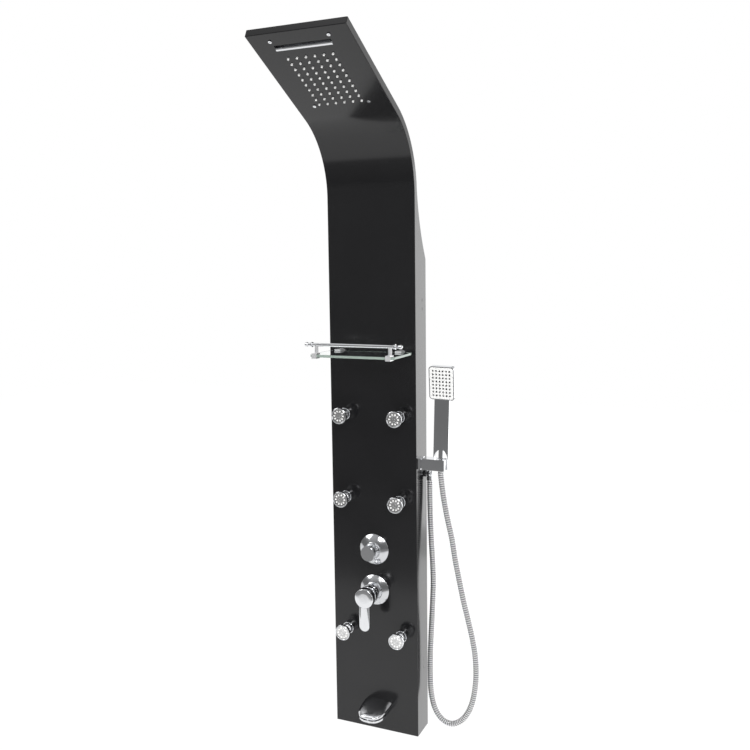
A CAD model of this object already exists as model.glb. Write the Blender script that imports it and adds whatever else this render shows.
"""Dresses the shower panel for a studio picture.

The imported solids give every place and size. Pieces that show curved sheet, ribs or soft edges are
modelled here again, finer, on the same places. Places on the panel are given in millimetres from
the bottom middle of its front face, with +X to the right, +Y into the wall and +Z up.
"""

import logging
import math
from dataclasses import dataclass, field
from enum import Enum
from typing import Any, Callable, Sequence

import bmesh
import bpy
from mathutils import Matrix, Vector


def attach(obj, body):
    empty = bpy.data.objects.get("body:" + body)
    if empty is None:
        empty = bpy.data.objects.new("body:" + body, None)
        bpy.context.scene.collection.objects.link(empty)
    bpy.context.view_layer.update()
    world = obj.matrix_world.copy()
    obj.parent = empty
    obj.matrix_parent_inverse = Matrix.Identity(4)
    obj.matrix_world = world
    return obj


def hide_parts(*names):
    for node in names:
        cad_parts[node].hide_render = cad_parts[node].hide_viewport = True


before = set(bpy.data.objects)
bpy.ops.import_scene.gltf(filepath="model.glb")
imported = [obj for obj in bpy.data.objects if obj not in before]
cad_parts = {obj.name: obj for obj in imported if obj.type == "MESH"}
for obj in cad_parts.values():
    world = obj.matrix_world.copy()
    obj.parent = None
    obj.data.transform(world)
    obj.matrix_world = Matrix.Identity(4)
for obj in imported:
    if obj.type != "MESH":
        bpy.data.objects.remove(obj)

LOG = logging.getLogger("shower_panel")
MM = 0.001
PANEL_DEPTH = 68.0
BRACKET_HEIGHT = 1050.0
FRONT_HEIGHT = 1297.0
BEND_RADIUS = 186.0
BEND_ANGLE = 62.8
JET_PLACES = tuple((x, z) for z in (789.0, 586.0, 252.0) for x in (-70.5, 70.5))

EVEN = (1, 1, 1)
WHITE_LIGHT = (1, 1, 1, 1)

Piece = bpy.types.Object
Step = tuple[float, float]
Point = tuple[float, float, float]
Pattern = tuple[float, float, Point]


def place(x: float, y: float, z: float) -> Vector:
    """Turns a place on the panel into a point of the frame.

    Args:
        x: Distance to the right of the panel's middle, in millimetres.
        y: Distance behind its front face, in millimetres.
        z: Height above its bottom, in millimetres.

    Returns:
        The point in the frame, in metres.
    """
    return Vector((x, y - PANEL_DEPTH, z - BRACKET_HEIGHT)) * MM


class Term:
    """A number that varies over a surface, written in sums like any other number."""

    def __init__(self, shade: "Shade", socket: bpy.types.NodeSocket) -> None:
        """Wraps an output socket of a node tree."""
        self.shade = shade
        self.socket = socket

    def _sum(self, operation: str, first: Any, second: Any) -> "Term":
        """Adds one Math node and returns its result."""
        made = self.shade.node("ShaderNodeMath", {"operation": operation}, {0: first, 1: second})
        return Term(self.shade, made.outputs[0])

    def __add__(self, other: Any) -> "Term":
        """Returns self + other."""
        return self._sum("ADD", self, other)

    __radd__ = __add__

    def __sub__(self, other: Any) -> "Term":
        """Returns self - other."""
        return self._sum("SUBTRACT", self, other)

    def __rsub__(self, other: Any) -> "Term":
        """Returns other - self."""
        return self._sum("SUBTRACT", other, self)

    def __mul__(self, other: Any) -> "Term":
        """Returns self * other."""
        return self._sum("MULTIPLY", self, other)

    __rmul__ = __mul__

    def larger(self, other: Any) -> "Term":
        """Returns the larger of self and other."""
        return self._sum("MAXIMUM", self, other)

    def ramp(self, low: float, high: float) -> "Term":
        """Rises smoothly from 0 at low to 1 at high.

        Args:
            low: Value that gives 0.
            high: Value that gives 1.

        Returns:
            The smoothed share between the two.
        """
        made = self.shade.node(
            "ShaderNodeMapRange",
            {"interpolation_type": "SMOOTHSTEP"},
            {"Value": self, "From Min": low, "From Max": high},
        )
        return Term(self.shade, made.outputs["Result"])


class Shade:
    """One node tree, with its nodes made and linked in plain calls."""

    def __init__(self, tree: bpy.types.NodeTree) -> None:
        """Empties a node tree and takes it over."""
        self.tree = tree
        tree.nodes.clear()

    def node(
        self, kind: str, settings: dict[str, Any] | None = None,
        values: dict[Any, Any] | None = None,
    ) -> bpy.types.Node:
        """Makes a node.

        Args:
            kind: Type of the node.
            settings: Its own settings, set first.
            values: A value, a term or a socket for each input that is set.

        Returns:
            The new node.
        """
        made = self.tree.nodes.new(kind)
        for name, value in (settings or {}).items():
            setattr(made, name, value)
        for name, value in (values or {}).items():
            self.feed(made.inputs[name], value)
        return made

    def feed(self, socket: bpy.types.NodeSocket, value: Any) -> None:
        """Links or sets one input.

        Args:
            socket: The input.
            value: A term, an output socket, or a plain value.
        """
        if isinstance(value, Term):
            value = value.socket
        if isinstance(value, bpy.types.NodeSocket):
            self.tree.links.new(value, socket)
        else:
            socket.default_value = value

    def place(self, stretch: Point = EVEN) -> bpy.types.NodeSocket:
        """Returns the place on the piece, stretched along each axis."""
        where = self.node("ShaderNodeTexCoord").outputs["Object"]
        return self.node("ShaderNodeMapping", None, {"Vector": where, "Scale": stretch}).outputs[0]

    def noise(self, scale: float, detail: float, stretch: Point) -> Term:
        """Makes cloudy noise.

        Args:
            scale: Number of clouds a metre.
            detail: Number of finer layers in them.
            stretch: Stretch of the place along each axis.

        Returns:
            The noise, from 0 to 1.
        """
        values = {"Vector": self.place(stretch), "Scale": scale, "Detail": detail}
        made = self.node("ShaderNodeTexNoise", None, values)
        return Term(self, made.outputs["Fac"])

    def waves(self, scale: float, axis: str, bend: float) -> Term:
        """Makes parallel waves along an axis.

        Args:
            scale: How close they stand.
            axis: X, Y, Z or DIAGONAL.
            bend: How far noise bends them.

        Returns:
            The waves, from 0 to 1.
        """
        made = self.node(
            "ShaderNodeTexWave",
            {"bands_direction": axis, "wave_profile": "SIN"},
            {"Vector": self.place(), "Scale": scale, "Distortion": bend},
        )
        return Term(self, made.outputs["Fac"])

    def tint(self, share: Any, low: Point, high: Point) -> bpy.types.NodeSocket:
        """Mixes two colours.

        Args:
            share: Share of the second colour.
            low: Colour at 0.
            high: Colour at 1.

        Returns:
            The mixed colour's socket.
        """
        made = self.node("ShaderNodeMix", {"data_type": "RGBA"}, {"Factor": share})
        self.feed(made.inputs[6], (*low, 1))
        self.feed(made.inputs[7], (*high, 1))
        return made.outputs[2]

    def axes(self, space: str) -> tuple[Term, Term, Term]:
        """Returns the three parts of a place or a direction.

        Args:
            space: Object for the place on a piece, or Generated for a direction in the world.

        Returns:
            Its parts to the right, to the back and up.
        """
        where = self.node("ShaderNodeTexCoord").outputs[space]
        parts = self.node("ShaderNodeSeparateXYZ", None, {0: where}).outputs
        return Term(self, parts[0]), Term(self, parts[1]), Term(self, parts[2])

    def rays(self) -> tuple[Term, Term]:
        """Tells rays apart, for light that only some of them meet.

        Returns:
            1 for what the camera sees, also through glass, and 1 for what is mirrored.
        """
        path = self.node("ShaderNodeLightPath").outputs
        straight, through = (
            Term(self, path[name]) for name in ("Is Camera Ray", "Is Transmission Ray")
        )
        return straight.larger(through), Term(self, path["Is Glossy Ray"])

    def relief(self, height: Term, depth: float) -> bpy.types.NodeSocket:
        """Returns the normal of a relief of that depth in metres."""
        return self.node("ShaderNodeBump", None, {"Height": height, "Distance": depth}).outputs[0]

    def coat_surface(self, values: dict[str, Any]) -> None:
        """Ends the tree in a Principled surface with these inputs."""
        body = self.node("ShaderNodeBsdfPrincipled", None, values)
        self.node("ShaderNodeOutputMaterial", None, {"Surface": body.outputs[0]})


@dataclass(frozen=True)
class Finish:
    """What a surface is made of: a cloudy colour and roughness over a fine relief.

    A pattern is given by its clouds a metre, its detail and its stretch along each axis, the two
    tones are the colour's factors at its low and high ends, and the depth is in metres.
    """

    name: str
    colour: Point
    rough: float
    metal: float = 0.0
    stain: Pattern = (50, 3, EVEN)
    tones: tuple[float, float] = (0.94, 1.0)
    haze: float = 0.06
    skin: Pattern = (1500, 2, EVEN)
    depth: float = 0.000012
    blotch: Pattern = (14, 3, EVEN)
    blotch_haze: float = 0.0
    ior: float = 1.5
    shine: float = 0.5
    coat: float = 0.0
    coat_rough: float = 0.03
    through: float = 0.0

    def cloud(self, shade: Shade) -> Term:
        """Returns the pattern of the colour and the roughness."""
        return shade.noise(*self.stain)

    def grain(self, shade: Shade) -> Term:
        """Returns the pattern of the relief."""
        return shade.noise(*self.skin)

    def material(self) -> bpy.types.Material:
        """Makes this finish's material, unless it is there already.

        Returns:
            The material.
        """
        found = bpy.data.materials.get(self.name)
        if found is not None:
            return found
        found = bpy.data.materials.new(self.name)
        found.use_nodes = True
        shade = Shade(found.node_tree)
        cloud = self.cloud(shade)
        rough = self.rough + self.haze * cloud
        if self.blotch_haze:
            rough = rough + self.blotch_haze * shade.noise(*self.blotch)
        low, high = (tuple(min(part * tone, 1.0) for part in self.colour) for tone in self.tones)
        values = {
            "Base Color": shade.tint(cloud, low, high), "Roughness": rough,
            "Metallic": self.metal, "IOR": self.ior, "Specular IOR Level": self.shine,
            "Coat Weight": self.coat, "Coat Roughness": self.coat_rough,
            "Transmission Weight": self.through,
        }
        if self.depth:
            values["Normal"] = shade.relief(self.grain(shade), self.depth)
        shade.coat_surface(values)
        return found


@dataclass(frozen=True)
class GlossPaint(Finish):
    """Sprayed black lacquer, with the fine orange peel that spraying leaves."""

    stain: Pattern = (9, 4, EVEN)
    tones: tuple[float, float] = (0.8, 1.2)
    haze: float = 0.05
    skin: Pattern = (420, 2, EVEN)
    depth: float = 0.00001
    ior: float = 1.45
    coat: float = 0.1
    coat_rough: float = 0.05


@dataclass(frozen=True)
class PolishedChrome(Finish):
    """Bright plated metal with a trace of wiping marks."""

    metal: float = 1.0
    stain: Pattern = (60, 5, (1, 1, 0.35))
    tones: tuple[float, float] = (0.93, 1.0)
    haze: float = 0.05
    skin: Pattern = (35, 2, EVEN)
    depth: float = 0.00006


@dataclass(frozen=True)
class BrushedMetal(Finish):
    """Sheet metal with a grain that runs one way."""

    metal: float = 1.0
    stain: Pattern = (240, 4, (0.05, 1, 1))
    tones: tuple[float, float] = (0.8, 1.08)
    haze: float = 0.12
    skin: Pattern = (240, 4, (0.05, 1, 1))
    depth: float = 0.00002
    blotch_haze: float = 0.08


@dataclass(frozen=True)
class CastBrass(Finish):
    """Rough cast brass, darker where it has dulled."""

    metal: float = 1.0
    stain: Pattern = (40, 4, EVEN)
    tones: tuple[float, float] = (1.0, 0.62)
    haze: float = 0.2
    skin: Pattern = (900, 3, EVEN)
    depth: float = 0.00005


@dataclass(frozen=True)
class Moulded(Finish):
    """Moulded plastic or silicone with a faint grain."""


@dataclass(frozen=True)
class BraidedSleeve(Finish):
    """The woven wire sleeve of a water hose, whose strands cross.

    Each of the two waves is given by its scale, its axis and its bend.
    """

    metal: float = 0.75
    tones: tuple[float, float] = (0.35, 1.0)
    haze: float = 0.15
    depth: float = 0.0003
    rising: tuple[float, str, float] = (110, "DIAGONAL", 1.0)
    level: tuple[float, str, float] = (140, "Z", 1.5)

    def cloud(self, shade: Shade) -> Term:
        """Returns the weave of the two strands."""
        return shade.waves(*self.rising) * shade.waves(*self.level)

    def grain(self, shade: Shade) -> Term:
        """Returns the same weave as a relief."""
        return self.cloud(shade)


@dataclass(frozen=True)
class ClearGlass(Finish):
    """Float glass, with a green body colour that shows at its edges."""

    stain: Pattern = (30, 3, EVEN)
    tones: tuple[float, float] = (1.0, 0.97)
    haze: float = 0.02
    depth: float = 0.0
    through: float = 1.0


class Surface(Enum):
    """The finishes of this shower panel."""

    LACQUER = GlossPaint("black_lacquer", (0.0082, 0.0082, 0.0090), 0.14)
    CHROME = PolishedChrome("polished_chrome", (0.83, 0.84, 0.86), 0.045)
    HOSE_CHROME = PolishedChrome("ribbed_chrome", (0.93, 0.93, 0.94), 0.16, metal=0.65)
    DOME = PolishedChrome("dome_chrome", (0.7, 0.71, 0.73), 0.15)
    BEAD = PolishedChrome("bead_chrome", (0.8, 0.8, 0.81), 0.3, metal=0.6)
    GROOVE = PolishedChrome("hose_groove", (0.09, 0.09, 0.093), 0.4)
    SATIN = PolishedChrome("satin_chrome", (0.78, 0.78, 0.78), 0.2)
    STEEL = BrushedMetal("brushed_steel", (0.58, 0.59, 0.61), 0.28)
    BRASS = CastBrass("cast_brass", (0.66, 0.49, 0.22), 0.3)
    WHITE = Moulded("satin_white", (0.86, 0.86, 0.85), 0.28)
    GREY = Moulded("dark_plastic", (0.04, 0.04, 0.041), 0.5, shine=0.3)
    SILICONE = Moulded("white_silicone", (0.9, 0.9, 0.89), 0.55, shine=0.35)
    RUBBER = Moulded("black_rubber", (0.022, 0.022, 0.024), 0.6, shine=0.35)
    NYLON = Moulded("nylon", (0.8, 0.79, 0.74), 0.45)
    SLEEVE = BraidedSleeve("braided_sleeve", (0.62, 0.64, 0.66), 0.35)
    GLASS = ClearGlass("clear_glass", (0.93, 0.97, 0.95), 0.0)
    GLASS_EDGE = ClearGlass("glass_edge", (0.38, 0.46, 0.41), 0.12, through=0.3)

    def on(self, piece: Piece) -> None:
        """Dresses a piece in this finish.

        Args:
            piece: The piece, with or without slots for its materials.
        """
        for held in piece.material_slots:
            held.material = self.value.material()
        if not piece.material_slots:
            piece.data.materials.append(self.value.material())


class Bench:
    """The modelling operators, used on one piece at a time.

    Points closer than MERGE, in metres, become one. FLAT is the angle up to which faces count as
    one, FOLD the angle from which an edge is softened and CORNER the angle from which it is round.
    """

    MERGE = 2e-6
    FLAT = math.radians(0.4)
    FOLD = math.radians(38)
    CORNER = math.radians(60)

    @staticmethod
    def add(name: str, data: bpy.types.ID) -> Piece:
        """Puts a new object into the scene.

        Args:
            name: Its name.
            data: Its mesh, light or camera.

        Returns:
            The object.
        """
        piece = bpy.data.objects.new(name, data)
        bpy.context.scene.collection.objects.link(piece)
        return piece

    @staticmethod
    def take(piece: Piece) -> None:
        """Selects one piece alone and makes it active.

        Args:
            piece: The piece.
        """
        bpy.ops.object.select_all(action="DESELECT")
        piece.select_set(True)
        bpy.context.view_layer.objects.active = piece

    @staticmethod
    def open(piece: Piece) -> None:
        """Opens a piece in edit mode with nothing selected.

        Args:
            piece: The piece.
        """
        Bench.take(piece)
        bpy.ops.object.mode_set(mode="EDIT")
        bpy.ops.mesh.select_mode(type="VERT")
        bpy.ops.mesh.select_all(action="DESELECT")

    @staticmethod
    def close() -> None:
        """Goes back to object mode."""
        bpy.ops.object.mode_set(mode="OBJECT")

    @staticmethod
    def pick(piece: Piece, mode: str, test: Callable[[Any], bool]) -> None:
        """Selects what passes a test, and nothing else.

        Args:
            piece: The piece, open in edit mode.
            mode: VERT, EDGE or FACE.
            test: Says whether an element is wanted.
        """
        bpy.ops.mesh.select_mode(type=mode)
        bpy.ops.mesh.select_all(action="DESELECT")
        net = bmesh.from_edit_mesh(piece.data)
        for item in {"VERT": net.verts, "EDGE": net.edges, "FACE": net.faces}[mode]:
            if test(item):
                item.select = True
        net.select_flush_mode()
        bmesh.update_edit_mesh(piece.data)

    @staticmethod
    def extrude(across: float, deep: float, up: float) -> None:
        """Extrudes what is selected by a way in metres."""
        bpy.ops.mesh.extrude_region_move(TRANSFORM_OT_translate={"value": (across, deep, up)})

    @staticmethod
    def round_corners(piece: Piece, radius: float) -> None:
        """Rounds all the corners that are sharper than a fold.

        Args:
            piece: The piece, open in edit mode.
            radius: Their radius, in millimetres.
        """
        Bench.pick(
            piece, "EDGE",
            lambda edge: len(edge.link_faces) == 2 and edge.calc_face_angle(0) > Bench.CORNER,
        )
        bpy.ops.mesh.bevel(offset=radius * MM, segments=4, profile=0.5, affect="EDGES")

    @staticmethod
    def modify(piece: Piece, kind: str, **settings: Any) -> None:
        """Adds a modifier and applies it.

        Args:
            piece: The piece.
            kind: Type of the modifier.
            settings: Its settings.
        """
        Bench.take(piece)
        made = piece.modifiers.new(kind.title(), kind)
        for name, value in settings.items():
            setattr(made, name, value)
        bpy.ops.object.modifier_apply(modifier=made.name)

    @staticmethod
    def settle(piece: Piece) -> None:
        """Puts the place, turn and size of a piece into its mesh."""
        Bench.take(piece)
        bpy.ops.object.transform_apply(location=True, rotation=True, scale=True)

    @staticmethod
    def smooth(piece: Piece, degrees: float) -> None:
        """Shades a piece smooth across all edges flatter than an angle."""
        Bench.take(piece)
        bpy.ops.object.shade_smooth_by_angle(angle=math.radians(degrees))

    @staticmethod
    def close_up(piece: Piece) -> None:
        """Merges doubles and points all faces outwards.

        Args:
            piece: The piece.
        """
        Bench.open(piece)
        bpy.ops.mesh.select_all(action="SELECT")
        bpy.ops.mesh.remove_doubles(threshold=Bench.MERGE)
        bpy.ops.mesh.normals_make_consistent(inside=False)
        Bench.close()

    @staticmethod
    def start(name: str) -> Piece:
        """Names the active piece.

        Args:
            name: Its name.

        Returns:
            The piece.
        """
        piece = bpy.context.object
        piece.name = piece.data.name = name
        return piece

    @staticmethod
    def primitive(name: str, add: Callable[..., Any], **settings: Any) -> Piece:
        """Adds a primitive and names it.

        Args:
            name: Its name.
            add: The operator that adds it.
            settings: The operator's settings.

        Returns:
            The primitive.
        """
        bpy.ops.object.select_all(action="DESELECT")
        add(**settings)
        return Bench.start(name)

    @staticmethod
    def copy(piece: Piece, name: str, by: Vector) -> Piece:
        """Copies a piece with its own mesh and moves the copy.

        Args:
            piece: The piece.
            name: Name of the copy.
            by: How far the copy moves, in metres.

        Returns:
            The copy.
        """
        twin = Bench.add(name, piece.data.copy())
        twin.data.transform(Matrix.Translation(by))
        return twin

    @staticmethod
    def join(name: str, pieces: Sequence[Piece]) -> Piece:
        """Joins pieces into the first of them.

        Args:
            name: Name of the joined piece.
            pieces: The pieces.

        Returns:
            The joined piece.
        """
        Bench.take(pieces[0])
        for piece in pieces:
            piece.select_set(True)
        bpy.ops.object.join()
        return Bench.start(name)

    @staticmethod
    def turned(name: str, outline: Sequence[Step], centre: Vector, sides: int) -> Piece:
        """Turns an outline round an axis that points into the wall, as on a lathe.

        Args:
            name: Name of the piece.
            outline: Radius of each point and its depth behind the centre, in millimetres.
            centre: Point of the axis.
            sides: Number of steps round the axis.

        Returns:
            The turned piece.
        """
        piece = Bench.primitive(name, bpy.ops.mesh.primitive_plane_add, size=MM)
        Bench.open(piece)
        net = bmesh.from_edit_mesh(piece.data)
        bmesh.ops.delete(net, geom=list(net.verts)[1:], context="VERTS")
        first = net.verts[:][0]
        first.co = centre + Vector((*outline[0], 0)) * MM
        first.select = True
        bmesh.update_edit_mesh(piece.data)
        for (r0, y0), (r1, y1) in zip(outline, outline[1:]):
            bpy.ops.mesh.extrude_vertices_move(
                TRANSFORM_OT_translate={"value": ((r1 - r0) * MM, (y1 - y0) * MM, 0)}
            )
        bpy.ops.mesh.select_all(action="SELECT")
        bpy.ops.mesh.spin(steps=sides, angle=2 * math.pi, center=centre, axis=(0, 1, 0))
        Bench.close()
        Bench.close_up(piece)
        Bench.smooth(piece, 32)
        return piece


def refined(node: str, name: str, edge: float, bends: int) -> Piece:
    """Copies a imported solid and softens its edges.

    Args:
        node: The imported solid.
        name: Name of the new piece.
        edge: Radius of its edges, in millimetres.
        bends: Number of faces across an edge.

    Returns:
        The softened copy, which isn't placed on a body yet.
    """
    piece = Bench.add(name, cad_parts[node].data.copy())
    piece.data.name = name
    piece.data.materials.clear()
    Bench.open(piece)
    bpy.ops.mesh.select_all(action="SELECT")
    bpy.ops.mesh.remove_doubles(threshold=Bench.MERGE)
    bpy.ops.mesh.dissolve_limited(angle_limit=Bench.FLAT)
    Bench.close()
    Bench.modify(
        piece, "BEVEL", width=edge * MM, segments=bends, limit_method="ANGLE",
        angle_limit=Bench.FOLD, use_clamp_overlap=True,
    )
    Bench.smooth(piece, 40)
    Bench.modify(piece, "WEIGHTED_NORMAL", keep_sharp=True, weight=50)
    return piece


def seat(piece: Piece, body: str, slot: str, look: Surface | None, *nodes: str) -> None:
    """Puts a finished piece on its body and reports it.

    Args:
        piece: The piece, with its place in its mesh.
        body: The moving body that it rides on.
        slot: The record's slot that it takes its finish from.
        look: Its finish, or None where its faces have been dressed already.
        nodes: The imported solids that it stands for.
    """
    if look is not None:
        look.on(piece)
    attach(piece, body)
    if nodes:
        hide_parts(*nodes)
    LOG.info("%s rides on %s with %d faces", piece.name, body, len(piece.data.polygons))


def bent(x: float, depth: float, rise: float) -> Vector:
    """Places a point on the head, by its place across, behind its face and up from the bend.

    Args:
        x: Distance to the right of the middle, in millimetres.
        depth: Distance behind the head's face, in millimetres.
        rise: Distance along the head from the end of the bend, in millimetres.

    Returns:
        The point in the frame, in metres.
    """
    turn = math.radians(BEND_ANGLE)
    out, up = BEND_RADIUS + depth, rise
    return place(
        x,
        -BEND_RADIUS + out * math.cos(turn) - up * math.sin(turn),
        FRONT_HEIGHT + out * math.sin(turn) + up * math.cos(turn),
    )


@dataclass
class Refined:
    """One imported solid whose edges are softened, on its own body."""

    node: str
    name: str
    edge: float
    bends: int = 2
    look: Surface = Surface.CHROME
    body: str = "column"
    slot: str = "chrome"

    def build(self) -> None:
        """Makes the softened piece."""
        piece = refined(self.node, self.name, self.edge, self.bends)
        seat(piece, self.body, self.slot, self.look, self.node)


@dataclass(frozen=True)
class Lamp:
    """One soft box, in metres and watts. Mirrored says whether bright metal shows it."""

    name: str
    centre: Point
    aim: Point
    size: Step
    power: float
    mirrored: bool = True

    def hang(self) -> None:
        """Hangs the box, out of the camera's sight."""
        data = bpy.data.lights.new(self.name, "AREA")
        data.shape, data.size, data.size_y, data.energy = "RECTANGLE", *self.size, self.power
        box = Bench.add(self.name, data)
        box.location = self.centre
        way = Vector(self.centre) - Vector(self.aim)
        box.rotation_euler = way.to_track_quat("Z", "Y").to_euler()
        box.visible_camera = False
        box.visible_glossy = self.mirrored


@dataclass
class Studio:
    """Camera, pale floor and soft light.

    Each edge is the pair of values, of a direction or of a place on the floor, between which the
    light changes. The levels are strengths, and the shares run from 0 to 1.
    """

    eye: Point = (830.36, -1858.37, 1147.37)
    back: Point = (0.40166, -0.90680, 0.12796)
    roll: float = -0.726
    azimuth: float = 23.891
    lens: float = 41.755
    sensor: float = 36.0
    clip: Step = (0.05, 60)
    soft_front: float = 0.26
    soft_back: float = 0.8
    mirrored_front: float = 0.155
    mirrored_above: float = 0.15
    mirrored_ceiling: float = 0.7
    back_edge: Step = (-0.15, 0.25)
    ground_edge: Step = (0.22, 0.5)
    sky_edge: Step = (0.25, 0.8)
    card_edges: tuple[Step, Step] = ((-0.85, -0.55), (0.05, 0.25))
    above_edge: Step = (0.2, 0.6)
    ceiling_edge: Step = (0.78, 0.92)
    low_back_edge: Step = (0.35, 0.6)
    floor_drop: float = 320.0
    floor_size: float = 14.0
    floor_edge: Step = (-1.72, -1.57)
    floor_far: float = 0.23
    floor_near: float = 0.85
    floor_glow: float = 1.07
    glow_seen: float = 0.86
    glow_mirrored: float = 0.55
    lamps: tuple[Lamp, ...] = (
        Lamp("side_strip", (1.5, 2.2, -0.45), (0.1, 0, -0.45), (1.6, 2.1), 14),
        Lamp("front_box", (1.1, -2.9, 1.5), (0, 0, -0.4), (1.8, 1.0), 42),
        Lamp("low_strip", (0.65, 1.2, -1.36), (0.65, 1.2, 0), (1.0, 1.6), 3.5),
        Lamp("bounce_box", (0.1, -1.0, -1.25), (0.1, -0.6, 0.5), (1.6, 1.6), 18, mirrored=False),
        Lamp("key_box", (-2.4, -1.6, 1.6), (0, 0, -0.2), (1.4, 1.8), 34),
        Lamp("right_box", (2.6, -1.4, 0.6), (0, 0, -0.4), (0.6, 2.2), 12),
    )

    def camera(self) -> None:
        """Sets the camera where the photographer stood."""
        bearing, turn = math.radians(self.azimuth), math.radians(self.roll)
        right = Vector((math.cos(bearing), math.sin(bearing), 0))
        back = Vector(self.back).normalized()
        up = back.cross(right)
        across = math.cos(turn) * right + math.sin(turn) * up
        above = -math.sin(turn) * right + math.cos(turn) * up
        data = bpy.data.cameras.new("studio_camera")
        data.lens, data.sensor_width, data.sensor_fit = self.lens, self.sensor, "HORIZONTAL"
        data.clip_start, data.clip_end = self.clip
        seen = Bench.add("studio_camera", data)
        turned = Matrix((across, above, back)).transposed().to_4x4()
        seen.matrix_world = Matrix.Translation(place(*self.eye)) @ turned
        bpy.context.scene.camera = seen

    def world(self) -> None:
        """Surrounds the panel with a white backdrop and a dim room in front."""
        world = bpy.data.worlds.new("studio_world")
        world.use_nodes = True
        bpy.context.scene.world = world
        shade = Shade(world.node_tree)
        across, forth, up = shade.axes("Generated")
        left, right = self.card_edges
        behind = forth.ramp(*self.back_edge)
        lit = (0.0 - up).ramp(*self.ground_edge).larger(up.ramp(*self.sky_edge)).larger(behind)
        soft = self.soft_front + (self.soft_back - self.soft_front) * lit
        card = across.ramp(*left) * (0.0 - across).ramp(*right)
        mirrored = self.mirrored_front + (self.soft_front - self.mirrored_front) * card
        mirrored = mirrored + self.mirrored_above * up.ramp(*self.above_edge)
        mirrored = mirrored + self.mirrored_ceiling * up.ramp(*self.ceiling_edge)
        seen, glossy = shade.rays()
        level = soft + (mirrored - soft) * glossy
        low_back = behind * (1.0 - up.ramp(*self.low_back_edge))
        level = level + (1.0 - level) * seen.larger(glossy * low_back)
        ground = shade.node(
            "ShaderNodeBackground", None, {"Color": WHITE_LIGHT, "Strength": level}
        )
        shade.node("ShaderNodeOutputWorld", None, {"Surface": ground.outputs[0]})

    def floor(self) -> None:
        """Lays a plain pale floor under the panel."""
        ground = Bench.primitive(
            "studio_floor", bpy.ops.mesh.primitive_plane_add, size=self.floor_size,
            location=place(0, 0, -self.floor_drop),
        )
        paint = bpy.data.materials.new("studio_floor")
        paint.use_nodes = True
        shade = Shade(paint.node_tree)
        near = shade.axes("Object")[1].ramp(*self.floor_edge)
        seen, glossy = shade.rays()
        grey = shade.tint(near, (self.floor_far,) * 3, (self.floor_near,) * 3)
        matt = shade.node("ShaderNodeBsdfDiffuse", None, {"Color": grey})
        glow = shade.node(
            "ShaderNodeEmission", None, {"Color": WHITE_LIGHT, "Strength": self.floor_glow}
        )
        share = (self.glow_seen * seen).larger(self.glow_mirrored * (glossy * near))
        mixed = shade.node(
            "ShaderNodeMixShader", None, {0: share, 1: matt.outputs[0], 2: glow.outputs[0]}
        )
        shade.node("ShaderNodeOutputMaterial", None, {"Surface": mixed.outputs[0]})
        ground.data.materials.append(paint)

    def build(self) -> None:
        """Sets up the whole studio."""
        bpy.context.scene.view_settings.view_transform = "Standard"
        self.camera()
        self.world()
        self.floor()
        for lamp in self.lamps:
            lamp.hang()


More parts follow.
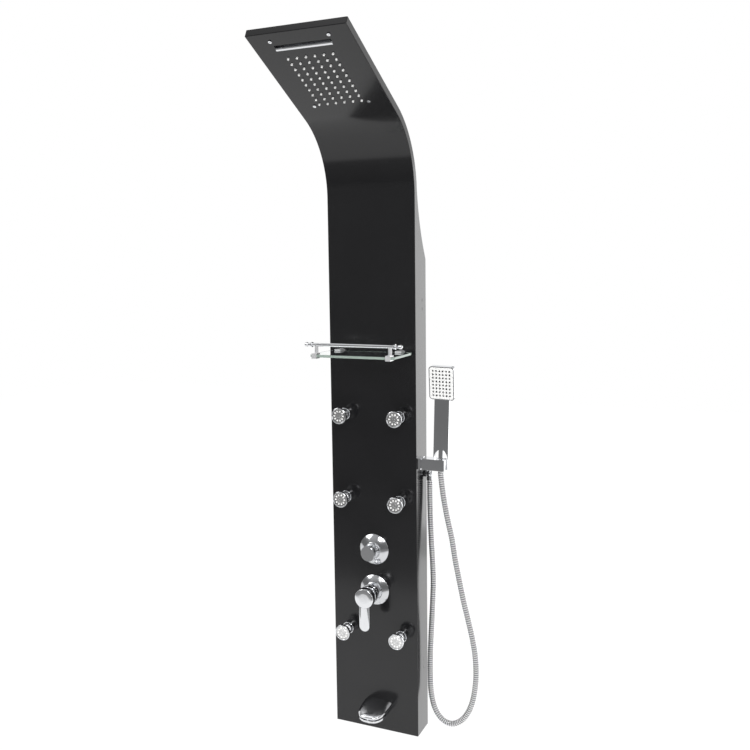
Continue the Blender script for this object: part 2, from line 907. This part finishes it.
@dataclass
class HandsetHose:
    """The ribbed hose that hangs in one loop between its outlet and the handset."""

    RINGS = 4

    outer: float = 7.0
    groove: float = 5.9
    bevel: float = 0.25
    pitch: float = 5.4
    sides: int = 16
    fine: int = 40
    outlet_end: Point = (122.5, 57, 630)
    handset_end: Point = (165, 20, 691.5)
    lean: float = 1.5
    below_fork: float = 26.7
    route: tuple[Point, ...] = (
        (123, 56, 580), (125, 54, 530), (128, 52, 475), (131, 51, 430), (133, 50, 380),
        (132, 48, 330), (130, 47, 285), (128, 46, 240), (127, 44, 195), (127, 43, 148),
        (129, 42, 103), (138, 41, 64), (156, 40, 37), (180, 39, 29), (205, 38, 41),
        (225, 37, 68), (238, 36, 104), (245, 35, 152), (245, 34, 202), (239, 32, 250),
        (228, 31, 300), (217, 29, 347), (206, 28, 400), (196.5, 26, 452), (189, 25, 500),
        (178.5, 23, 550), (170, 21, 600),
    )

    def knots(self) -> list[Vector]:
        """Lists the points that the hose passes, straight for one diameter at each end.

        Returns:
            The points, in millimetres of the panel.
        """
        lean = math.radians(self.lean)
        way = Vector((math.sin(lean), 0, math.cos(lean)))
        start = Vector(self.outlet_end)
        end = Vector(self.handset_end) - self.below_fork * way
        drop = Vector((0, 0, 2 * self.outer))
        return [start, start - drop, *map(Vector, self.route), end - 2 * self.outer * way, end]

    def line(self) -> list[Vector]:
        """Runs one smooth curve through the points.

        Returns:
            The places along the hose, in metres of the frame.
        """
        knots = self.knots()
        padded = [2 * knots[0] - knots[1], *knots, 2 * knots[-1] - knots[-2]]
        places = []
        for a, b, c, d in zip(padded, padded[1:], padded[2:], padded[3:]):
            for step in range(self.fine):
                t = step / self.fine
                spot = 2 * b + (c - a) * t + (2 * a - 5 * b + 4 * c - d) * t * t
                places.append((spot + (3 * b - a - 3 * c + d) * t ** 3) / 2)
        return [place(*spot) for spot in [*places, knots[-1]]]

    def spaced(self, places: list[Vector], count: int) -> list[Vector]:
        """Sets places at even distances along a line of places.

        Args:
            places: The line.
            count: Number of places to set.

        Returns:
            The even places.
        """
        run = [0.0]
        for near, far in zip(places, places[1:]):
            run.append(run[-1] + (far - near).length)
        even, k = [], 0
        for i in range(count):
            goal = run[-1] * i / (count - 1)
            while k < len(places) - 2 and run[k + 1] < goal:
                k += 1
            share = (goal - run[k]) / (run[k + 1] - run[k])
            even.append(places[k].lerp(places[k + 1], share))
        return even

    def tube(self, centres: list[Vector]) -> Piece:
        """Sweeps the ribbed wall along its centres, RINGS of them to a rib.

        Args:
            centres: Evenly spaced centres of the rings.

        Returns:
            The tube, closed at both ends.
        """
        shoulder = self.outer - self.bevel
        profile = (self.groove, shoulder, self.outer, shoulder)
        points, faces = [], []
        for i, centre in enumerate(centres):
            ahead = centres[min(i + 1, len(centres) - 1)] - centres[max(i - 1, 0)]
            side = Vector((0, 1, 0)).cross(ahead).normalized()
            other = ahead.cross(side).normalized()
            for k in range(self.sides):
                turn = 2 * math.pi * k / self.sides
                out = math.cos(turn) * side + math.sin(turn) * other
                points.append(centre + profile[i % self.RINGS] * MM * out)
        for i in range(len(centres) - 1):
            for k in range(self.sides):
                a, b = i * self.sides + k, i * self.sides + (k + 1) % self.sides
                faces.append((a, b, b + self.sides, a + self.sides))
        last = (len(centres) - 1) * self.sides
        faces.append(tuple(reversed(range(self.sides))))
        faces.append(tuple(range(last, last + self.sides)))
        mesh = bpy.data.meshes.new("handset_hose_ribbed")
        mesh.from_pydata(points, [], faces)
        for look in (Surface.HOSE_CHROME, Surface.GROOVE):
            mesh.materials.append(look.value.material())
        low = (0, self.RINGS - 1)
        for number in range((len(centres) - 1) * self.sides):
            ring = number // self.sides % self.RINGS
            mesh.polygons[number].material_index = int(ring in low)
        piece = Bench.add("handset_hose_ribbed", mesh)
        Bench.close_up(piece)
        Bench.smooth(piece, 60)
        return piece

    def build(self) -> None:
        places = self.line()
        length = sum((b - a).length for a, b in zip(places, places[1:]))
        ribs = round(length / (self.pitch * MM))
        piece = self.tube(self.spaced(places, self.RINGS * ribs + 1))
        seat(piece, "column", "hose_chrome", None, "handset_hose")
        [tuple(spot) for spot in self.spaced(places, 160)]


@dataclass
class ColumnSheet:
    """The folded sheet of the column, with its bend, its head and its holes."""

    width: float = 220.0
    sheet: float = 1.5
    edge_depth: float = 15.5
    head: float = 273.0
    taper_radius: float = 420.0
    taper_angle: float = 6.3
    taper_bite: float = 0.5
    slack: float = 0.01
    corner: float = 1.6
    bend_steps: int = 40
    taper_steps: int = 16
    drill_depth: float = 8.0
    nozzle_count: tuple[int, int] = (6, 10)
    nozzle_pitch: Step = (20.0, 16.4)
    nozzle_top: float = 74.0
    nozzle_hole: float = 2.5
    screw_across: float = 64.0
    screw_down: Step = (22.0, 227.0)
    screw_hole: float = 2.05
    slot_down: float = 41.5
    slot_size: Step = (125.0, 13.0)
    side_holes: tuple[Point, ...] = (
        (57, 645, 5.3), (12, 678.25, 2.15), (28, 678.25, 2.15),
    )
    holes: tuple[Point, ...] = (
        *((x, z, 10.9) for x, z in JET_PLACES), (0, 460, 15.3), (0, 358, 19.3), (6, 68, 9.3),
        (-77, 939, 2.65), (77, 939, 2.65),
    )

    def taper_centre(self) -> Vector:
        """Places the axis of the hollow curve behind the bend.

        Returns:
            A point of the axis, in metres.
        """
        reach = self.taper_radius + BEND_RADIUS + self.edge_depth - self.taper_bite
        turn = math.radians(self.taper_angle)
        forth, up = reach * math.cos(turn), reach * math.sin(turn)
        return place(0, -BEND_RADIUS + forth, FRONT_HEIGHT + up)

    def taper_start(self) -> float:
        """Finds where that curve leaves the wall plane.

        Returns:
            Its height, in millimetres of the panel.
        """
        centre = self.taper_centre()
        fall = math.sqrt((self.taper_radius * MM) ** 2 - centre.y ** 2)
        return (centre.z - fall) / MM + BRACKET_HEIGHT

    def fold(self) -> Piece:
        """Draws the sheet as one surface: up the column, round the bend and along the head.

        Returns:
            The sheet, still without thickness.
        """
        piece = Bench.primitive("panel_sheet", bpy.ops.mesh.primitive_plane_add)
        half = self.width / 2
        corners = ((-half, 0), (half, 0), (-half, PANEL_DEPTH), (half, PANEL_DEPTH))
        for vertex, (x, y) in zip(piece.data.vertices, corners):
            vertex.co = place(x, y, 0)
        Bench.open(piece)
        bpy.ops.mesh.select_all(action="SELECT")
        bpy.ops.mesh.delete(type="ONLY_FACE")
        Bench.pick(piece, "EDGE", lambda edge: all(v.co.y > -MM for v in edge.verts))
        bpy.ops.mesh.delete(type="EDGE")
        bpy.ops.mesh.select_all(action="SELECT")
        start = self.taper_start()
        step = (FRONT_HEIGHT - start) / self.taper_steps
        for rise in (start, *([step] * self.taper_steps)):
            Bench.extrude(0, 0, rise * MM)
        bpy.ops.mesh.spin(
            steps=self.bend_steps, angle=-math.radians(BEND_ANGLE),
            center=place(0, -BEND_RADIUS, FRONT_HEIGHT), axis=(1, 0, 0),
        )
        Bench.extrude(*(bent(0, 0, self.head) - bent(0, 0, 0)))
        bpy.ops.mesh.edge_face_add()
        self.trim(piece)
        Bench.close()
        return piece

    def trim(self, piece: Piece) -> None:
        """Draws the rear edges in to the hollow curve and to the folded edge's depth.

        Args:
            piece: The sheet, open in edit mode, with its rear edges still at the wall plane.
        """
        hub = place(0, -BEND_RADIUS, FRONT_HEIGHT)
        turn = math.radians(BEND_ANGLE)
        way = Vector((0, -math.sin(turn), math.cos(turn)))
        face = Vector((0, math.cos(turn), math.sin(turn)))
        centre, radius, slack = self.taper_centre(), self.taper_radius * MM, self.slack * MM
        net = bmesh.from_edit_mesh(piece.data)
        for vertex in net.verts:
            spot = Vector((0, vertex.co.y, vertex.co.z))
            if spot.z <= hub.z + slack:
                if spot.y > -slack and spot.z > place(0, 0, self.taper_start()).z + slack:
                    drop = centre.z - spot.z
                    vertex.co.y = centre.y - math.sqrt(radius ** 2 - drop ** 2)
                continue
            arm = spot - hub
            along = (spot - (hub + BEND_RADIUS * MM * face)).dot(way)
            if along > slack:
                depth = (spot - hub).dot(face) - BEND_RADIUS * MM
                if depth > PANEL_DEPTH / 2 * MM:
                    vertex.co -= (depth - self.edge_depth * MM) * face
            elif arm.length > (BEND_RADIUS + PANEL_DEPTH / 2) * MM:
                ray = arm.normalized()
                reach = (BEND_RADIUS + self.edge_depth) * MM
                toward = (hub - centre).dot(ray)
                inside = toward ** 2 - ((hub - centre).length_squared - radius ** 2)
                if inside > 0 and math.degrees(math.atan2(ray.z, ray.y)) < self.taper_angle:
                    reach = -toward - math.sqrt(inside)
                vertex.co = Vector((vertex.co.x, 0, 0)) + hub + reach * ray
        bmesh.update_edit_mesh(piece.data)

    def drill(self, centre: Vector, radius: float, lean: Point, sides: int) -> Piece:
        """Makes one drill through the sheet.

        Args:
            centre: Its middle, in metres.
            radius: Its radius, in millimetres.
            lean: Its turn about each axis.
            sides: Number of its sides.

        Returns:
            The drill.
        """
        made = Bench.primitive(
            "drill", bpy.ops.mesh.primitive_cylinder_add, vertices=sides, radius=radius * MM,
            depth=self.drill_depth * MM, location=centre, rotation=lean,
        )
        Bench.settle(made)
        return made

    def cutters(self) -> Piece:
        """Makes the drills and the slot's cutter.

        Returns:
            One body of them all.
        """
        turn, square = math.radians(BEND_ANGLE), math.pi / 2
        front, head, side = (square, 0, 0), (square + turn, 0, 0), (0, square, 0)
        columns, rows = self.nozzle_count
        across, down = self.nozzle_pitch
        top = self.head - self.nozzle_top
        nozzles = [
            bent((i - (columns - 1) / 2) * across, 0, top - down * j)
            for i in range(columns) for j in range(rows)
        ]
        screws = [
            bent(x, 0, self.head - drop)
            for drop in self.screw_down for x in (-self.screw_across, self.screw_across)
        ]
        made = [
            *(self.drill(place(x, 0, z), radius, front, 48) for x, z, radius in self.holes),
            *(self.drill(spot, self.nozzle_hole, head, 16) for spot in nozzles),
            *(self.drill(spot, self.screw_hole, head, 16) for spot in screws),
            *(self.drill(place(self.width / 2, y, z), radius, side, 24)
              for y, z, radius in self.side_holes),
        ]
        long, high = self.slot_size
        made.append(Bench.primitive(
            "slot_cutter", bpy.ops.mesh.primitive_cube_add, size=1, rotation=(turn, 0, 0),
            location=bent(0, 0, self.head - self.slot_down),
            scale=(long * MM, self.drill_depth * MM, high * MM),
        ))
        Bench.settle(made[-1])
        return Bench.join("cutters", made)

    def build(self) -> None:
        """Makes the folded sheet, gives it its thickness and cuts its holes."""
        piece = self.fold()
        Bench.close_up(piece)
        front = max(piece.data.polygons, key=lambda face: face.area)
        if front.normal.y > 0:
            piece.data.flip_normals()
        Bench.open(piece)
        Bench.round_corners(piece, self.corner)
        Bench.close()
        Bench.modify(
            piece, "SOLIDIFY", thickness=self.sheet * MM, offset=-1, use_even_offset=True
        )
        cutters = self.cutters()
        Bench.modify(piece, "BOOLEAN", operation="DIFFERENCE", solver="EXACT", object=cutters)
        bpy.data.objects.remove(cutters)
        Bench.smooth(piece, 30)
        Bench.modify(piece, "WEIGHTED_NORMAL", keep_sharp=True, weight=100)
        seat(piece, "column", "black_paint", Surface.LACQUER, "panel_shell")


@dataclass
class BodyJets:
    """The six swivel jets, each a chrome bell with a grey face and white nozzles.

    The outlines' depths are counted back from the jet's front.
    """

    ball: float = 10.0
    ball_depth: float = 35.0
    ball_steps: int = 14
    neck: float = 6.0
    face: float = 19.2
    front: float = -41.0
    rim: float = 7.0
    cone: float = 9.0
    edge: float = 2.6
    nozzles: int = 10
    ring: float = 11.5
    tip: tuple[Step, ...] = (
        (2.0, 2.0), (2.0, 0.5), (1.85, 0.05), (1.5, -0.15), (0.5, -0.15), (0.4, 0.4), (0, 0.4),
    )
    middle: tuple[Step, ...] = (
        (5.6, 0.9), (5.2, 0.4), (4.4, 0.4), (4.0, 0.9), (2.6, 0.9), (2.2, 0.5), (0, 0.35),
    )
    wiper: tuple[Step, ...] = (
        (10.4, -8.8), (10.4, -9.4), (12.7, -9.4), (12.9, -8.8), (10.4, -8.8),
    )

    def turned(self, name: str, outline: Sequence[Step], sides: int) -> Piece:
        """Turns one outline of a jet round the axis of the panel's middle."""
        return Bench.turned(name, outline, place(0, self.front, 0), sides)

    def bell(self) -> Piece:
        """Turns the ball, the neck, the cone and the bright rim.

        Returns:
            The bell.
        """
        inner, neck = self.face - self.edge, self.rim + self.cone
        swing = math.pi - math.asin(self.neck / self.ball)
        turns = (math.pi - t * swing / self.ball_steps for t in range(self.ball_steps + 1))
        outline = [
            *((self.ball * math.sin(t), self.ball_depth - self.ball * math.cos(t)) for t in turns),
            (self.neck, neck + 1.5), (self.neck + 0.3, neck + 0.3), (self.neck + 1.6, neck - 1.2),
            (inner - 1.2, self.rim + 1.2), (inner - 0.2, self.rim + 0.5),
            (self.face - 0.6, self.rim + 0.1), (self.face - 0.15, self.rim - 0.35),
            (self.face, self.rim - 0.9), (self.face, 1.1), (self.face - 0.25, 0.45),
            (self.face - 0.8, 0.05), (self.face - 1.5, 0), (inner + 0.4, 0.1), (inner, 0.5),
            (inner, 3.4), (0, 3.4),
        ]
        return self.turned("jet_bell", outline, 56)

    def insert(self) -> Piece:
        """Turns the grey face, with a ridge round a ribbed middle.

        Returns:
            The face.
        """
        inner, ring = self.face - self.edge, self.ring
        outline = [
            (inner - 0.15, 3.3), (inner - 0.15, 1.0), (inner - 0.7, 0.6), (ring + 2.3, 0.75),
            (ring - 2.2, 0.75), (ring - 2.8, 0.2), (ring - 3.6, 0.2), (ring - 4.1, 0.9),
            *self.middle,
        ]
        return self.turned("jet_face", outline, 48)

    def tips(self) -> Piece:
        """Turns one white nozzle and sets a ring of them.

        Returns:
            The ring.
        """
        first = self.turned("jet_tip", self.tip, 12)
        ring = []
        for k in range(self.nozzles):
            turn = 2 * math.pi * k / self.nozzles
            by = Vector((math.cos(turn), 0, math.sin(turn))) * self.ring * MM
            ring.append(Bench.copy(first, f"jet_tip_{k}", by))
        bpy.data.objects.remove(first)
        return Bench.join("jet_tips", ring)

    def build(self) -> None:
        """Makes one jet and copies it to the six places."""
        parts = {
            "bell": (self.bell(), "chrome", Surface.CHROME),
            "face": (self.insert(), "chrome", Surface.SATIN),
            "tips": (self.tips(), "white_rubber", Surface.SILICONE),
        }
        spots = [Vector((x, 0, z)) * MM for x, z in JET_PLACES]
        for number, spot in enumerate(spots, 1):
            for part, (model, slot, look) in parts.items():
                twin = Bench.copy(model, f"jet_{part}_{number}", spot)
                nodes = (f"jet_head_{number}",) if part == "bell" else ()
                seat(twin, f"jet_tilt_{number}", slot, look, *nodes)
        Refined("jet_sockets", "jet_flanges", 1.2, 3).build()
        wiper = Bench.turned("jet_wiper", self.wiper, place(0, 0, 0), 40)
        rings = [Bench.copy(wiper, "jet_wiper_ring", spot) for spot in spots]
        seat(Bench.join("jet_wipers", rings), "column", "rubber", Surface.RUBBER)
        for model in (wiper, *(model for model, _, _ in parts.values())):
            bpy.data.objects.remove(model)


@dataclass
class MixerLever:
    """The single lever: a round hub over its hinge and a blade that hangs below it."""

    height: float = 358.0
    hub: float = 23.5
    hub_front: float = -67.0
    hub_thick: float = 22.0
    width: float = 26.0
    reach: float = 81.0
    thick: float = 7.0
    round_edge: float = 1.5
    tip_gap: float = 0.0004
    tip_steps: int = 20
    inset: float = 1.2
    crown: float = 0.15
    crown_band: float = 4.0
    crown_shares: Step = (0.45, 0.4)
    crown_facing: float = 0.99
    start: float = 18.0
    eye: float = 3.4
    eye_length: float = 8.8
    eye_depth: float = -41.0
    eye_facing: float = 0.2
    tongue_length: float = 4.5
    tongue_edge: float = 0.3

    def knob(self) -> Piece:
        """Turns the hub, with a soft front edge.

        Returns:
            The hub.
        """
        hub, thick = self.hub, self.hub_thick
        outline = [
            (0, thick), (hub - 3.5, thick), (hub - 2.8, thick - 0.2), (hub - 0.6, thick - 1.6),
            (hub, thick - 3.0), (hub, 2.2), (hub - 0.2, 1.2), (hub - 0.75, 0.5),
            (hub - 1.6, 0.12), (hub - 2.6, 0), (hub * 0.5, 0), (0, 0),
        ]
        return Bench.turned("mixer_hub", outline, place(0, self.hub_front, self.height), 96)

    def blade(self) -> Piece:
        """Draws the blade from a plate, rounds its end and crowns its face.

        Returns:
            The blade.
        """
        half = self.width / 2
        piece = Bench.primitive("mixer_blade", bpy.ops.mesh.primitive_plane_add)
        corners = [(x, z) for z in (-self.reach, -self.start) for x in (-half, half)]
        for vertex, (x, z) in zip(piece.data.vertices, corners):
            vertex.co = Vector((x, 0, z)) * MM
        Bench.open(piece)
        Bench.pick(piece, "VERT", lambda vertex: vertex.co.z < -(self.reach - half) * MM)
        bpy.ops.mesh.bevel(
            offset=(half - self.tip_gap) * MM, segments=self.tip_steps, profile=0.5,
            affect="VERTICES",
        )
        bpy.ops.mesh.select_all(action="SELECT")
        Bench.extrude(0, self.thick * MM, 0)
        Bench.close()
        Bench.close_up(piece)
        Bench.open(piece)
        Bench.round_corners(piece, self.round_edge)
        Bench.pick(piece, "FACE", lambda face: face.normal.y < -self.crown_facing)
        for share in self.crown_shares:
            bpy.ops.mesh.inset(thickness=self.crown_band * MM, depth=0)
            bpy.ops.transform.translate(value=(0, -share * self.crown * MM, 0))
        Bench.close()
        way = place(0, self.hub_front + self.inset, self.height)
        piece.data.transform(Matrix.Translation(way))
        Bench.smooth(piece, 40)
        return piece

    def tongue(self) -> Piece:
        """Draws the tongue and the eye behind the hub, which take the pin.

        Returns:
            The tongue.
        """
        eye = Bench.primitive(
            "mixer_tongue", bpy.ops.mesh.primitive_cylinder_add, vertices=32,
            radius=self.eye * MM, depth=self.eye_length * MM, rotation=(0, math.pi / 2, 0),
            location=place(0, self.eye_depth, self.height),
        )
        Bench.settle(eye)
        Bench.open(eye)
        Bench.pick(eye, "FACE", lambda face: face.normal.y < -self.eye_facing)
        Bench.extrude(0, -self.tongue_length * MM, 0)
        Bench.close()
        Bench.modify(
            eye, "BEVEL", width=self.tongue_edge * MM, segments=2, limit_method="ANGLE"
        )
        Bench.smooth(eye, 40)
        return eye

    def build(self) -> None:
        """Makes the lever's three pieces."""
        seat(self.knob(), "mixer_lift", "chrome", Surface.CHROME, "mixer_lever")
        seat(self.blade(), "mixer_lift", "chrome", Surface.CHROME)
        seat(self.tongue(), "mixer_lift", "chrome", Surface.CHROME)


@dataclass
class Spout:
    """The tub spout: a domed hood with a bright band, over a slotted lip."""

    across: float = 6.0
    height: float = 68.0
    half_width: float = 36.5
    reach: float = 71.0
    rise: float = 10.0
    angle: float = 5.0
    wall: float = 2.5
    band: float = 3.0
    squareness: float = 3.0
    edge: float = 0.8
    edge_angle: float = 50.0

    def squared(self, part: float, flat: float) -> float:
        """Moves one coordinate of a circle's point out to a squarer outline.

        Args:
            part: The coordinate.
            flat: The circle's radius.

        Returns:
            The coordinate on the squarer outline.
        """
        if flat == 0:
            return 0.0
        return flat * math.copysign(abs(part / flat) ** (2 / self.squareness), part)

    def hood(self) -> Piece:
        """Shapes the hood from a ball, cuts it at the rim and the panel, and thickens it.

        Returns:
            The hood.
        """
        piece = Bench.primitive(
            "spout_hood_dome", bpy.ops.mesh.primitive_uv_sphere_add, segments=96, ring_count=48,
            radius=1,
        )
        Bench.open(piece)
        Bench.pick(piece, "VERT", lambda vertex: vertex.co.z < -Bench.MERGE)
        bpy.ops.mesh.delete(type="VERT")
        Bench.pick(piece, "EDGE", lambda edge: edge.is_boundary)
        Bench.extrude(0, 0, -self.band / self.rise)
        Bench.close()
        for vertex in piece.data.vertices:
            across, forth, up = vertex.co
            flat = math.hypot(across, forth)
            vertex.co = Vector((
                self.half_width * self.squared(across, flat),
                self.reach * self.squared(forth, flat),
                self.rise * up,
            )) * MM
        Bench.close_up(piece)
        Bench.modify(
            piece, "SOLIDIFY", thickness=self.wall * MM, offset=-1, use_even_offset=True
        )
        Bench.modify(
            piece, "BEVEL", width=self.edge * MM, segments=3, limit_method="ANGLE",
            angle_limit=math.radians(self.edge_angle),
        )
        piece.data.transform(
            Matrix.Translation(place(self.across, 0, self.height))
            @ Matrix.Rotation(math.radians(self.angle), 4, "X")
        )
        Bench.open(piece)
        bpy.ops.mesh.select_all(action="SELECT")
        bpy.ops.mesh.bisect(
            plane_co=place(0, 0, 0), plane_no=(0, 1, 0), clear_outer=True, use_fill=True
        )
        Bench.close()
        Bench.smooth(piece, 35)
        return piece

    def build(self) -> None:
        """Makes the spout's pieces."""
        seat(self.hood(), "column", "chrome", Surface.CHROME, "spout_hood")
        Refined("spout_lip", "spout_lip_soft", 0.9, 3).build()
        Refined("spout_aerator", "spout_outlet", 0.8, 3).build()


@dataclass
class Fittings:
    """The valves' plates and knob, the shelf, the holder, the handset and the head's fittings."""

    tip_growth: float = 1.15
    rivet_reach: float = 110.12
    glass_top: float = 0.9

    pieces: tuple[Refined, ...] = (
        Refined("diverter_rose", "diverter_plate", 0.9, 3, Surface.DOME),
        Refined("diverter_knob", "diverter_grip", 0.7, 3, body="diverter_turn"),
        Refined("mixer_rose", "mixer_plate", 0.9, 3, Surface.DOME),
        Refined("mixer_sleeve", "mixer_shroud", 0.6),
        Refined("mixer_collar", "mixer_swivel", 0.4, body="mixer_turn"),
        Refined("head_screws", "head_screw_tops", 0.4),
        Refined("rain_nozzles", "rain_tips", 0.45, 2, Surface.SILICONE, slot="white_rubber"),
        Refined("waterfall_lip", "waterfall_edge", 0.5),
        Refined("shelf_clamps", "glass_clamps", 1.2, 3, Surface.BEAD),
        Refined("shelf_rail", "glass_rail", 0.7, 3),
        Refined("rail_posts", "glass_posts", 1.0, 3, Surface.BEAD),
        Refined("holder_base", "holder_foot", 0.8, 3),
        Refined("holder_fork", "holder_cradle", 0.8, 3),
        Refined("hose_outlet", "hose_elbow", 0.5),
        Refined("handset_body", "handset_shell", 1.0, 3, body="handset"),
        Refined(
            "handset_face", "handset_plate", 0.3, look=Surface.WHITE, body="handset",
            slot="white_plastic",
        ),
        Refined("handset_nut", "handset_ferrule", 0.5, body="handset"),
    )
    kept: dict[Surface, tuple[str, ...]] = field(default_factory=lambda: {
        Surface.LACQUER: ("bottom_plate",),
        Surface.STEEL: ("rear_rails", "wall_brackets", "rain_chamber", "waterfall_chamber",
                        "jet_risers", "lever_pin", "clamp_screws"),
        Surface.SLEEVE: ("rain_hose", "waterfall_hose", "spout_hose", "handset_feed_hose"),
        Surface.BRASS: ("diverter_body", "diverter_stem", "mixer_body", "supply_inlets",
                        "jet_nuts", "spout_tail"),
        Surface.GREY: ("mixer_cartridge",),
        Surface.NYLON: ("diverter_disc", *(f"jet_seat_{number}" for number in range(1, 7))),
        Surface.RUBBER: ("hose_washer",),
    })

    def glass(self) -> None:
        """Makes the shelf's glass, with the green of its thickness along its edges."""
        sheet = refined("shelf_glass", "glass_sheet", 0.8, 2)
        for look in (Surface.GLASS, Surface.GLASS_EDGE):
            sheet.data.materials.append(look.value.material())
        for face in sheet.data.polygons:
            face.material_index = int(abs(face.normal.z) < self.glass_top)
        seat(sheet, "column", "glass", None, "shelf_glass")

    def rivets(self) -> None:
        """Sets the rivets' heads nearly flush, because the photo shows smooth sides."""
        heads = Bench.add("flush_rivets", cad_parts["rail_rivets"].data.copy())
        heads.data.materials.clear()
        for vertex in heads.data.vertices:
            reach = min(abs(vertex.co.x), self.rivet_reach * MM)
            vertex.co.x = math.copysign(reach, vertex.co.x)
        Bench.close_up(heads)
        Bench.smooth(heads, 30)
        seat(heads, "column", "black_paint", Surface.LACQUER, "rail_rivets")

    def spray(self) -> None:
        """Makes the handset's nozzles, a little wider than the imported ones."""
        tips = refined("handset_nozzles", "handset_tips", 0.3, 2)
        net = bmesh.new()
        net.from_mesh(tips.data)
        left = set(net.verts)
        for seed in net.verts:
            if seed not in left:
                continue
            left.remove(seed)
            queue, part = [seed], []
            while queue:
                part.append(queue.pop())
                for edge in part[-1].link_edges:
                    other = edge.other_vert(part[-1])
                    if other in left:
                        left.remove(other)
                        queue.append(other)
            middle = sum((vertex.co for vertex in part), Vector()) / len(part)
            for vertex in part:
                vertex.co.x += (self.tip_growth - 1) * (vertex.co.x - middle.x)
                vertex.co.z += (self.tip_growth - 1) * (vertex.co.z - middle.z)
        net.to_mesh(tips.data)
        net.free()
        seat(tips, "handset", "grey_plastic", Surface.GREY, "handset_nozzles")

    def build(self) -> None:
        """Makes the softened pieces and dresses the solids that stay."""
        for piece in self.pieces:
            piece.build()
        self.glass()
        self.rivets()
        self.spray()
        for look, nodes in self.kept.items():
            for node in nodes:
                look.on(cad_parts[node])
                LOG.info("%s keeps its solid, in %s", node, look.name.lower())


def main() -> None:
    """Builds the studio and the dressed panel, and keeps the two sizes."""
    logging.basicConfig(level=logging.INFO, format="%(name)s: %(message)s")
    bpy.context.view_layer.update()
    Studio().build()
    HandsetHose().build()
    ColumnSheet().build()
    BodyJets().build()
    MixerLever().build()
    Spout().build()
    Fittings().build()


if __name__ == "__main__":
    main()
